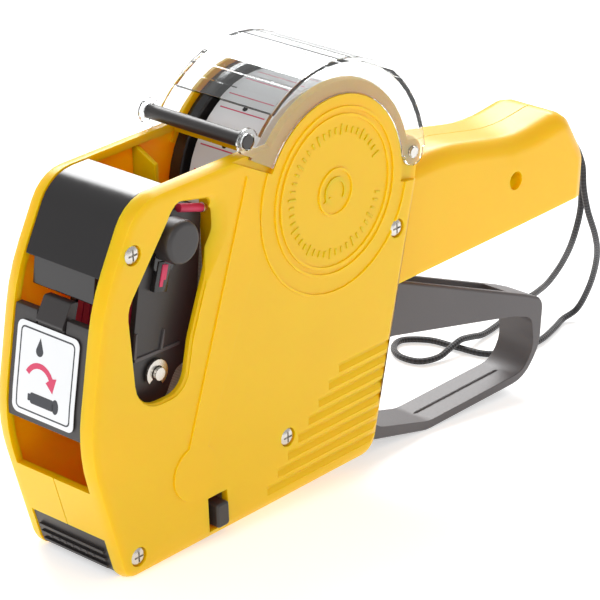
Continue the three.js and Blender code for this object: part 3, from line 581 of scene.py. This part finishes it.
def outline_piece(name, corners):
    """One flat face with its corners where they are given, in millimetres."""
    bpy.ops.mesh.primitive_circle_add(vertices=len(corners), fill_type="NGON")
    piece = bpy.context.object
    piece.name = piece.data.name = name
    for vertex, corner in zip(piece.data.vertices, corners):
        vertex.co = Vector(corner) * MM
    return piece


def joined(name, pieces):
    """Several pieces made one."""
    bpy.ops.object.select_all(action="DESELECT")
    for piece in pieces:
        piece.select_set(True)
    bpy.context.view_layer.objects.active = pieces[0]
    bpy.ops.object.join()
    bpy.context.object.name = name
    return bpy.context.object


def copied(piece, matrix):
    """A copy of a piece with its own mesh, moved by a matrix."""
    twin = bpy.data.objects.new(piece.name, piece.data.copy())
    twin.data.transform(matrix)
    bpy.context.scene.collection.objects.link(twin)
    return twin


def about_reel(degrees):
    """A turn about the reel's axis, in the gun's own frame."""
    centre = Matrix.Translation(REEL * MM)
    return centre @ Matrix.Rotation(math.radians(-degrees), 4, "Y") @ centre.inverted()


print("reel's axis from the floor in mm:", round(gun_point(*REEL).z / MM, 1))

# %% [markdown]
# The roll carries a label every 12 mm or so, each a thin sheet with two red lines printed on it.
# An image on the roll could show them, but not their edges, which catch the light. So one
# label is a thin strip's cross-section, spun about the reel's axis. The red lines are two of
# its rows of faces. Then it is copied round the roll.

# %% Labels on the roll
LABELS = 15
LABEL_STEPS = 26
LABEL_SWEEP = 20.8  # degrees that one label covers
LABEL_HALF = 9.8
LINE_HALF = 8.8
FIRST_GAP = 121.1  # degrees from the rear, over the top, to a gap between two labels
GAP_EDGE = 1.6  # degrees from a gap's middle to the next label
RED_ROWS = (1, 19)
roll_low, roll_high = gun_box("label_roll")
roll_radius = (roll_high.x - roll_low.x) / 2
inner = roll_radius + 0.02
outer = roll_radius + 0.14
section = [(-LABEL_HALF, inner), (LABEL_HALF, inner), (LABEL_HALF, outer), (LINE_HALF, outer),
           (-LINE_HALF, outer), (-LABEL_HALF, outer)]
label = outline_piece("roll_labels", [(REEL.x + r, y, REEL.z) for y, r in section])
only(label)
bpy.ops.object.mode_set(mode="EDIT")
bpy.ops.mesh.select_all(action="SELECT")
bpy.ops.mesh.spin(steps=LABEL_STEPS, angle=math.radians(LABEL_SWEEP), center=REEL * MM,
                  axis=(0, 1, 0))
bpy.ops.mesh.select_all(action="SELECT")
bpy.ops.mesh.normals_make_consistent(inside=False)
bpy.ops.object.mode_set(mode="OBJECT")
label.data.materials.append(plain_paper)
label.data.materials.append(red_ink)
for face in label.data.polygons:
    middle = face.center / MM - REEL
    row = int(math.degrees(math.atan2(middle.z, middle.x)) / LABEL_SWEEP * LABEL_STEPS)
    on_top = math.hypot(middle.x, middle.z) > (inner + 2 * outer) / 3
    if on_top and row in RED_ROWS and abs(middle.y) < LINE_HALF:
        face.material_index = 1
pitch = 360 / LABELS
labels = [copied(label, about_reel(FIRST_GAP + GAP_EDGE + i * pitch)) for i in range(LABELS)]
bpy.data.objects.remove(label)
label_set = joined("roll_labels", labels)
place_in(label_set, GUN)
finished(label_set, "roll", "paper")

# %% [markdown]
# Between two labels the backing has a small round hole, which the feed wheel's teeth catch.
# Cutting it would need a boolean for each. A thin black disc on the paper stands in for it
# as painted shade, the dark inside of the hole, and costs a few faces.

# %% Feed holes, drawn as painted shade
HOLE_RADIUS = 0.85
HOLE_SIDES = 16
HOLE_THICK = 0.1
# Each disc is painted shade: black where the dark inside of a hole would show.
bpy.ops.mesh.primitive_circle_add(vertices=HOLE_SIDES, radius=HOLE_RADIUS * MM,
                                  fill_type="NGON")
hole = bpy.context.object
only(hole)
bpy.ops.object.mode_set(mode="EDIT")
bpy.ops.mesh.select_all(action="SELECT")
bpy.ops.mesh.extrude_region_move(TRANSFORM_OT_translate={"value": (0, 0, HOLE_THICK * MM)})
bpy.ops.mesh.select_all(action="SELECT")
bpy.ops.mesh.normals_make_consistent(inside=False)
bpy.ops.object.mode_set(mode="OBJECT")
hole.data.transform(Matrix.Translation(Vector((REEL.x, 0, REEL.z + roll_radius)) * MM))
holes = [copied(hole, about_reel(FIRST_GAP + i * pitch - 90)) for i in range(LABELS)]
bpy.data.objects.remove(hole)
hole_shade_set = joined("roll_feed_hole_shade", holes)
place_in(hole_shade_set, GUN)
finished(hole_shade_set, "roll", "gloss_black")

# %% [markdown]
# The ink door carries a sticker with rounded corners, and on it a drop, an arrow and an ink
# roller, which tell where the ink goes. A Shrinkwrap modifier could lay them on the door, but
# its front only curves in height, so it is enough to know how far out it is at each height.

# %% The front of a piece as a line
def front_line(node):
    """The front surface of a CAD piece as (height, distance) pairs, in millimetres."""
    mesh = frame["nodes"][node].data
    turn_back = TO_GUN.to_3x3()
    found = {}
    for face in mesh.polygons:
        if (turn_back @ face.normal).x < -0.5:
            for index in face.vertices:
                point = TO_GUN @ mesh.vertices[index].co / MM
                found[round(point.z, 2)] = min(point.x, found.get(round(point.z, 2), 1e9))
    return sorted(found.items())


def front_at(line, height):
    """The front's distance at a height, between two known ones."""
    for (z0, x0), (z1, x1) in zip(line, line[1:]):
        if z0 <= height <= z1:
            return x0 + (x1 - x0) * (height - z0) / max(z1 - z0, 1e-6)
    return line[0][1] if height < line[0][0] else line[-1][1]


sticker_line = front_line("door_sticker")
print("heights known on the sticker's front:", len(sticker_line))

# %% [markdown]
# Flat art is cut as one face, sliced into low strips so that it can bend, laid on the front
# line, and then given a little thickness outwards.

# %% Flat art on a curved front
STRIP_START = 0.25
STRIP_HEIGHT = 1.25


def art(name, corners, line, lift, thickness, finish, hole=0.0):
    """Flat art from (across, height) corners, laid on a front line. hole leaves only a rim."""
    piece = outline_piece(name, [(0, y, z) for y, z in corners])
    only(piece)
    bpy.ops.object.mode_set(mode="EDIT")
    bpy.ops.mesh.select_all(action="SELECT")
    if hole:
        bpy.ops.mesh.inset(thickness=hole * MM)
        bpy.ops.mesh.delete(type="FACE")
        bpy.ops.mesh.select_all(action="SELECT")
    low, high = min(z for _, z in corners), max(z for _, z in corners)
    height = math.ceil(low) + STRIP_START
    while height < high:
        bpy.ops.mesh.select_all(action="SELECT")
        bpy.ops.mesh.bisect(plane_co=(0, 0, height * MM), plane_no=(0, 0, 1))
        height += STRIP_HEIGHT
    bpy.ops.object.mode_set(mode="OBJECT")
    for vertex in piece.data.vertices:
        vertex.co.x = (front_at(line, vertex.co.z / MM) - lift) * MM
    facing = sum(face.normal.x * face.area for face in piece.data.polygons)
    only(piece)
    if facing > 0:
        bpy.ops.object.mode_set(mode="EDIT")
        bpy.ops.mesh.select_all(action="SELECT")
        bpy.ops.mesh.flip_normals()
        bpy.ops.object.mode_set(mode="OBJECT")
    bpy.ops.object.modifier_add(type="SOLIDIFY")
    piece.modifiers[-1].thickness = thickness * MM
    piece.modifiers[-1].offset = 1.0
    bpy.ops.object.modifier_apply(modifier=piece.modifiers[-1].name)
    piece.data.materials.append(finish)
    place_in(piece, GUN)
    return piece


print("flat art bends every", STRIP_HEIGHT, "mm")

# %% [markdown]
# The sticker is a white sheet with round corners. It takes the place of the CAD sticker, whose
# corners are square. Outlines with arcs are worked out by small functions.

# %% Outlines and the sticker's sheet
def rounded_box(y0, y1, z0, z1, radius, steps=5):
    """The outline of a box with round corners."""
    corners = []
    for y, z, start in ((y1 - radius, z1 - radius, 0), (y0 + radius, z1 - radius, 90),
                        (y0 + radius, z0 + radius, 180), (y1 - radius, z0 + radius, 270)):
        for k in range(steps + 1):
            angle = math.radians(start + 90 * k / steps)
            corners.append((y + radius * math.cos(angle), z + radius * math.sin(angle)))
    return corners


def disc(y, z, radius, squeeze=1.0, sides=24):
    """The outline of a round or upright oval spot."""
    angles = [2 * math.pi * k / sides for k in range(sides)]
    return [(y + radius * squeeze * math.cos(a), z + radius * math.sin(a)) for a in angles]


def on_circle(y, z, radius, degrees):
    """A corner on a circle, at an angle from the circle's right."""
    angle = math.radians(degrees)
    return y + radius * math.cos(angle), z + radius * math.sin(angle)


SHEET_THICK = 0.14
SHEET_CORNER = 2.2
sticker_low, sticker_high = gun_box("door_sticker")
half, foot, top = sticker_high.y, sticker_low.z, sticker_high.z
sheet = rounded_box(-half, half, foot, top, SHEET_CORNER)
sticker = art("door_sticker_sheet", sheet, sticker_line, -SHEET_THICK, SHEET_THICK,
              finishes["white_plastic"])
finished(sticker, "door", "white_plastic")
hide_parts("door_sticker")

# %% [markdown]
# The picture is printed in dark grey and red: a thin frame, an ink drop, an arrow that swings
# down from it, and the ink roller lying below. Each shape is an outline of a few corners and
# arcs. They could be one image, but outlines stay crisp at any distance.

# %% The sticker's picture
INK_THICK = 0.05


def ink_art(name, corners, finish, hole=0.0):
    """A printed shape on the door's sticker."""
    piece = art(name, corners, sticker_line, 0.0, INK_THICK, finish, hole)
    finished(piece, "door", "white_plastic")


FRAME_SIDE, FRAME_END, FRAME_CORNER, FRAME_WIDTH = 1.5, 1.4, 1.6, 0.45
ink_art("sticker_frame",
        rounded_box(-half + FRAME_SIDE, half - FRAME_SIDE, foot + FRAME_END, top - FRAME_END,
                    FRAME_CORNER), dark_ink, hole=FRAME_WIDTH)
DROP_Y, DROP_TIP, DROP_Z, DROP_RADIUS = 2.9, 71.6, 67.8, 1.45
drop = [(DROP_Y, DROP_TIP)]
drop += [on_circle(DROP_Y, DROP_Z, DROP_RADIUS, a) for a in range(150, 391, 20)]
ink_art("sticker_drop", drop, dark_ink)
ROLLER_Y, ROLLER_Z, ROLLER_RADIUS = -4.9, 54.2, 2.1
ROLLER_FROM, ROLLER_TO, ROLLER_HALF = -4.2, 5.2, 1.6
HUB_END, HUB_HALF = 6.2, 1.0
ink_art("sticker_roller", rounded_box(ROLLER_FROM, ROLLER_TO, ROLLER_Z - ROLLER_HALF,
                                      ROLLER_Z + ROLLER_HALF, 0.7), dark_ink)
ink_art("sticker_roller_end", disc(ROLLER_Y, ROLLER_Z, ROLLER_RADIUS, 0.62), dark_ink)
ink_art("sticker_roller_hub", rounded_box(ROLLER_TO, HUB_END, ROLLER_Z - HUB_HALF,
                                          ROLLER_Z + HUB_HALF, 0.3), dark_ink)

# %% [markdown]
# The red arrow is one outline too: the outer arc, three corners for its head, and the inner
# arc backwards.

# %% The sticker's arrow
SWING = (2.2, 58.4)  # centre across and up
SWING_OUTER, SWING_INNER, BARB = 6.2, 4.6, 1.5
SWING_END = 152  # degrees, where the shaft ends and the arrow's head begins
TIP_SIDE, TIP_DROP = 0.3, 1.6  # how far the tip lies outside the arc, across and down
tip_y, tip_z = on_circle(*SWING, (SWING_OUTER + SWING_INNER) / 2, SWING_END + 20)
arc_angles = range(28, SWING_END + 1, 12)
arrow = [on_circle(*SWING, SWING_OUTER, a) for a in arc_angles]
arrow.append(on_circle(*SWING, SWING_OUTER + BARB, SWING_END))
arrow.append((tip_y - TIP_SIDE, tip_z - TIP_DROP))
arrow.append(on_circle(*SWING, SWING_INNER - BARB, SWING_END))
arrow += [on_circle(*SWING, SWING_INNER, a) for a in reversed(arc_angles)]
ink_art("sticker_arrow", arrow, red_ink)

# %% [markdown]
# The print head has small features that a solid drawing leaves out: a rubber tube along its
# top, a window with the pointer that shows which digit is being set, a stop pad and two fins.
# They could be placed in the gun's frame, but the head leans, and its parts are square to each
# other in its own. So they are modelled there, A to the rear and U along it, and lean with it.

# %% Head details
squeeze_joint = next(joint for joint in record["behaviour"]["joints"]
                     if joint["name"] == "lever_squeeze")
SQUEEZE = math.radians(squeeze_joint["range_deg"][1])
shaft_low, shaft_high = gun_box("head_shaft")
SHAFT = (shaft_low + shaft_high) / 2
HEAD = GUN @ Matrix.Translation(Vector((SHAFT.x, 0, SHAFT.z)) * MM) @ Matrix.Rotation(
    SQUEEZE, 4, "Y")
PLATE_FACE = gun_box("head_frame")[0].y  # outer face of the head's near side plate


def head_plate(name, corners, y0, y1, slot, body="lever", edge=0.15):
    """A plate with rounded edges in the head's frame, from its (A, U) outline."""
    piece = outline_piece(name, [(a, y1, u) for a, u in corners])
    only(piece)
    bpy.ops.object.mode_set(mode="EDIT")
    bpy.ops.mesh.select_all(action="SELECT")
    bpy.ops.mesh.extrude_region_move(TRANSFORM_OT_translate={"value": (0, (y0 - y1) * MM, 0)})
    bpy.ops.mesh.select_all(action="SELECT")
    bpy.ops.mesh.normals_make_consistent(inside=False)
    bpy.ops.mesh.bevel(offset=edge * MM, segments=2)
    bpy.ops.object.mode_set(mode="OBJECT")
    place_in(piece, HEAD)
    finished(piece, body, slot)


KNOB_A = -4.8
KNOB_U = 39.1
WINDOW_TOP = KNOB_U - 6.6
WINDOW_FOOT = KNOB_U - 15.4
WINDOW_HALF = 2.5
head_plate("pointer_window", [
    (KNOB_A - WINDOW_HALF, WINDOW_FOOT), (KNOB_A + WINDOW_HALF, WINDOW_FOOT),
    (KNOB_A + WINDOW_HALF, WINDOW_TOP), (KNOB_A - WINDOW_HALF, WINDOW_TOP)],
    PLATE_FACE - 1.9, PLATE_FACE - 0.2, "gloss_black", "selector")
head_plate("pointer_flag", [
    (KNOB_A - 1.0, WINDOW_FOOT + 1.6), (KNOB_A + 0.2, WINDOW_FOOT + 1.6),
    (KNOB_A + 0.2, WINDOW_FOOT + 3.6), (KNOB_A + 1.1, WINDOW_FOOT + 3.6),
    (KNOB_A + 1.1, WINDOW_TOP - 0.8), (KNOB_A - 1.0, WINDOW_TOP - 0.8)],
    PLATE_FACE - 2.2, PLATE_FACE - 1.2, "red_rubber", "selector", edge=0.1)
head_plate("stop_pad", [(-9.0, 4.2), (8.0, 8.6), (8.0, 7.6), (-9.0, 3.0)],
           PLATE_FACE - 0.5, PLATE_FACE + 0.3, "lever_grey")
head_plate("front_fin", [(-9.6, 4.0), (-8.6, 4.2), (-9.8, 11.6), (-10.4, 11.4)],
           PLATE_FACE - 0.7, PLATE_FACE + 0.3, "lever_grey")
head_plate("rear_fin", [(0.4, 6.4), (1.4, 6.6), (1.0, 12.4), (0.5, 12.4)],
           PLATE_FACE - 0.7, PLATE_FACE + 0.3, "lever_grey")

# %% [markdown]
# A short red rubber tube lies across the top of the head's near side, with a metal ring at its
# rear end. Both are cylinders with softened ends.

# %% Rubber tube on the head
TUBE_RADIUS = 1.25
TUBE_U = 47.5
TUBE_Y = PLATE_FACE - 1.2
TUBE_FROM = -2.5
TUBE_TO = 8.0
ROD_EDGE = 0.12


def head_rod(name, radius, start, end, slot):
    """A short round bar along the head's A direction, with softened ends."""
    bpy.ops.mesh.primitive_cylinder_add(vertices=24, radius=radius * MM, depth=(end - start) * MM,
                                        rotation=(0, math.pi / 2, 0))
    piece = bpy.context.object
    piece.name = piece.data.name = name
    bpy.ops.object.transform_apply(location=False, rotation=True, scale=False)
    bpy.ops.object.mode_set(mode="EDIT")
    bpy.ops.mesh.select_all(action="SELECT")
    bpy.ops.mesh.bevel(offset=ROD_EDGE * MM, segments=2)
    bpy.ops.object.mode_set(mode="OBJECT")
    piece.data.transform(Matrix.Translation(Vector(((start + end) / 2, TUBE_Y, TUBE_U)) * MM))
    place_in(piece, HEAD)
    finished(piece, "lever", slot)


head_rod("head_tube", TUBE_RADIUS, TUBE_FROM, TUBE_TO, "red_rubber")
head_rod("head_tube_ring", TUBE_RADIUS + 0.2, TUBE_TO - 1.4, TUBE_TO - 0.4, "nickel_steel")

# %% [markdown]
# The near shell carries a raised dial on the reel's disc. Here it is a plain ring of ticks
# round a small arrow. A tick starts as a cube, is set to its size and has its edges bevelled.
# A long and a short one are modelled, and copies of them are turned about the reel's axis to
# their places. Every fourth one is long.

# %% Dial on the near shell
DIAL_TICKS = 44
DIAL_STEP = 7.5  # degrees
DIAL_START = -70
DIAL_RADIUS = 18.6
DIAL_RISE = 0.35
TICK_WIDTH = 0.7
LONG_TICK = 3.2
SHORT_TICK = 2.0
shell_near = gun_box("case_screw_1")[0].y - 0.1  # the screw heads sit that much below the face
TICK_EDGE = 0.12


def dial_tick(length):
    """One raised tick at the top of the dial."""
    bpy.ops.mesh.primitive_cube_add(size=1)
    tick = bpy.context.object
    for vertex in tick.data.vertices:
        vertex.co = vertex.co * Vector((TICK_WIDTH, 2 * DIAL_RISE, length)) * MM
    only(tick)
    bpy.ops.object.mode_set(mode="EDIT")
    bpy.ops.mesh.select_all(action="SELECT")
    bpy.ops.mesh.bevel(offset=TICK_EDGE * MM, segments=1)
    bpy.ops.object.mode_set(mode="OBJECT")
    middle = Vector((REEL.x, shell_near, REEL.z + DIAL_RADIUS))
    tick.data.transform(Matrix.Translation(middle * MM))
    return tick


long_tick = dial_tick(LONG_TICK)
short_tick = dial_tick(SHORT_TICK)
ticks = [copied(short_tick if i % 4 else long_tick, about_reel(DIAL_START + i * DIAL_STEP))
         for i in range(DIAL_TICKS)]
bpy.data.objects.remove(long_tick)
bpy.data.objects.remove(short_tick)
dial = joined("dial_ticks", ticks)
place_in(dial, GUN)
finished(dial, "root", "yellow_abs")

# %% [markdown]
# The arrow inside the dial shows which way the roll turns. It is one outline, an arc with a
# head, extruded to the height of the ticks.

# %% Arrow inside the dial
ARROW_INNER = 3.4
ARROW_OUTER = 4.6
ARROW_BARB = 1.0
ARROW_END = 200  # degrees
ARROW_TIP = 232
sweep = range(-40, ARROW_END + 1, 15)
corners = [on_circle(0, 0, ARROW_OUTER, a) for a in sweep]
corners.append(on_circle(0, 0, ARROW_OUTER + ARROW_BARB, ARROW_END))
corners.append(on_circle(0, 0, (ARROW_INNER + ARROW_OUTER) / 2, ARROW_TIP))
corners.append(on_circle(0, 0, ARROW_INNER - ARROW_BARB, ARROW_END))
corners += [on_circle(0, 0, ARROW_INNER, a) for a in reversed(sweep)]
turn_arrow = outline_piece("dial_arrow", [
    (REEL.x + x, shell_near + DIAL_RISE, REEL.z + z) for x, z in corners])
only(turn_arrow)
bpy.ops.object.mode_set(mode="EDIT")
bpy.ops.mesh.select_all(action="SELECT")
bpy.ops.mesh.extrude_region_move(
    TRANSFORM_OT_translate={"value": (0, -2 * DIAL_RISE * MM, 0)})
bpy.ops.mesh.select_all(action="SELECT")
bpy.ops.mesh.normals_make_consistent(inside=False)
bpy.ops.object.mode_set(mode="OBJECT")
place_in(turn_arrow, GUN)
finished(turn_arrow, "root", "yellow_abs")

# %% [markdown]
# Inside, each shell has a stiffening rib between the print head and the reel. It is a thin
# upright wall, grown out of the shell's inner face, and it shows through the window. Its side
# outline is one face, extruded by the rib's thickness.

# %% Inner ribs
RIB_FRONT = -9.0
RIB_THICK = 1.6
RIB_FOOT = 68.0
RIB_TOP = 109.6
RIB_REACH = 9.0
WALL = 2.5
RIB_SINK = 0.1  # the rib starts inside the wall's thickness
INSIDE = shell_near + WALL - RIB_SINK
for name, side in (("near_rib", 1), ("far_rib", -1)):
    wall_y = side * INSIDE
    edge_y = side * (INSIDE + RIB_REACH)
    rib = outline_piece(name, [
        (RIB_FRONT, wall_y, RIB_FOOT), (RIB_FRONT, edge_y, RIB_FOOT + RIB_REACH),
        (RIB_FRONT, edge_y, RIB_TOP - RIB_REACH / 2), (RIB_FRONT, wall_y, RIB_TOP)])
    only(rib)
    bpy.ops.object.mode_set(mode="EDIT")
    bpy.ops.mesh.select_all(action="SELECT")
    bpy.ops.mesh.extrude_region_move(TRANSFORM_OT_translate={"value": (RIB_THICK * MM, 0, 0)})
    bpy.ops.mesh.select_all(action="SELECT")
    bpy.ops.mesh.normals_make_consistent(inside=False)
    bpy.ops.mesh.bevel(offset=0.2 * MM, segments=2)
    bpy.ops.object.mode_set(mode="OBJECT")
    place_in(rib, GUN)
    finished(rib, "root", "yellow_abs")

# %% [markdown]
# The ribbed guard under the nose has a row of small round pips on its middle rib, for grip.
# One is a ball, cut off a little behind its middle so that only its front stands out, and the
# row is made of its copies.

# %% Guard pips
PIPS = 7
PIP_PITCH = 2.9
PIP_RADIUS = 0.42
PIP_HEIGHT = 6.15
PIP_CUT = 0.25 * PIP_RADIUS
bpy.ops.mesh.primitive_uv_sphere_add(segments=16, ring_count=8, radius=PIP_RADIUS * MM)
pip = bpy.context.object
only(pip)
bpy.ops.object.mode_set(mode="EDIT")
bpy.ops.mesh.select_all(action="SELECT")
bpy.ops.mesh.bisect(plane_co=(PIP_CUT * MM, 0, 0), plane_no=(1, 0, 0),
                    clear_outer=True, use_fill=True)
bpy.ops.object.mode_set(mode="OBJECT")
pip_front = front_at(front_line("front_guard"), PIP_HEIGHT)
pips = []
for i in range(PIPS):
    across = (i - (PIPS - 1) / 2) * PIP_PITCH
    pips.append(copied(pip, Matrix.Translation(Vector((pip_front, across, PIP_HEIGHT)) * MM)))
bpy.data.objects.remove(pip)
pip_row = joined("guard_pips", pips)
place_in(pip_row, GUN)
finished(pip_row, "root", "lever_grey")

# %% [markdown]
# The studio's floor is a white table that is lit from below, as in a light tent, so shadows
# on it stay faint. A lamp under a glass sheet could light it, but a plain surface that glows a
# little looks the same and renders with less noise.

# %% Floor
TABLE_GLOW = 0.5
bpy.ops.mesh.primitive_plane_add(size=12)
floor = bpy.context.object
floor.name = "studio_floor"
floor_finish = moulded("matt white light table", "ECECEC", "E9E9E9", 0.9, 1.45, 3.0, 0.01)
glow = floor_finish.node_tree.nodes["Principled BSDF"]
glow.inputs["Emission Color"].default_value = (1, 1, 1, 1)
glow.inputs["Emission Strength"].default_value = TABLE_GLOW
floor.data.materials.append(floor_finish)
floor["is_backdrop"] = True
print("floor glows with strength:", TABLE_GLOW)

# %% [markdown]
# Round the floor is an even bright surround, with two soft boxes. The long one behind the gun
# draws the white lines along its upper edges, and the square one in front fills the nose.
# Lamps without size would light the gun too, but with hard shadows and pin-point highlights.

# %% Lights
SURROUND = 0.6
AIM = Vector((0, 0, 0.06))  # the middle of the gun
world = bpy.data.worlds.new("studio surround")
bpy.context.scene.world = world
world.use_nodes = True
world.node_tree.nodes["Background"].inputs["Color"].default_value = (1, 1, 1, 1)
world.node_tree.nodes["Background"].inputs["Strength"].default_value = SURROUND


def soft_box(name, place, power, width, height):
    """A rectangular area light that faces the gun."""
    bpy.ops.object.light_add(type="AREA", location=place)
    lamp = bpy.context.object
    lamp.name = name
    lamp.data.shape = "RECTANGLE"
    lamp.data.size = width
    lamp.data.size_y = height
    lamp.data.energy = power
    aim = AIM - Vector(place)
    lamp.rotation_mode = "QUATERNION"
    lamp.rotation_quaternion = aim.to_track_quat("-Z", "Y")
    print(name, "at", place)


soft_box("back_box", (0.75, 0.95, 0.95), 26, 1.3, 0.6)
soft_box("front_box", (-1.3, -0.7, 1.0), 8, 1.2, 1.2)
bpy.context.scene.view_settings.view_transform = "Standard"

# %% Finish
low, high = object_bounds()
grown = [max(a - b, d - c) for a, b, c, d in zip(cad_low, low, cad_high, high)]
print("visual box beyond the CAD box in mm:", [round(1000 * g, 2) for g in grown])
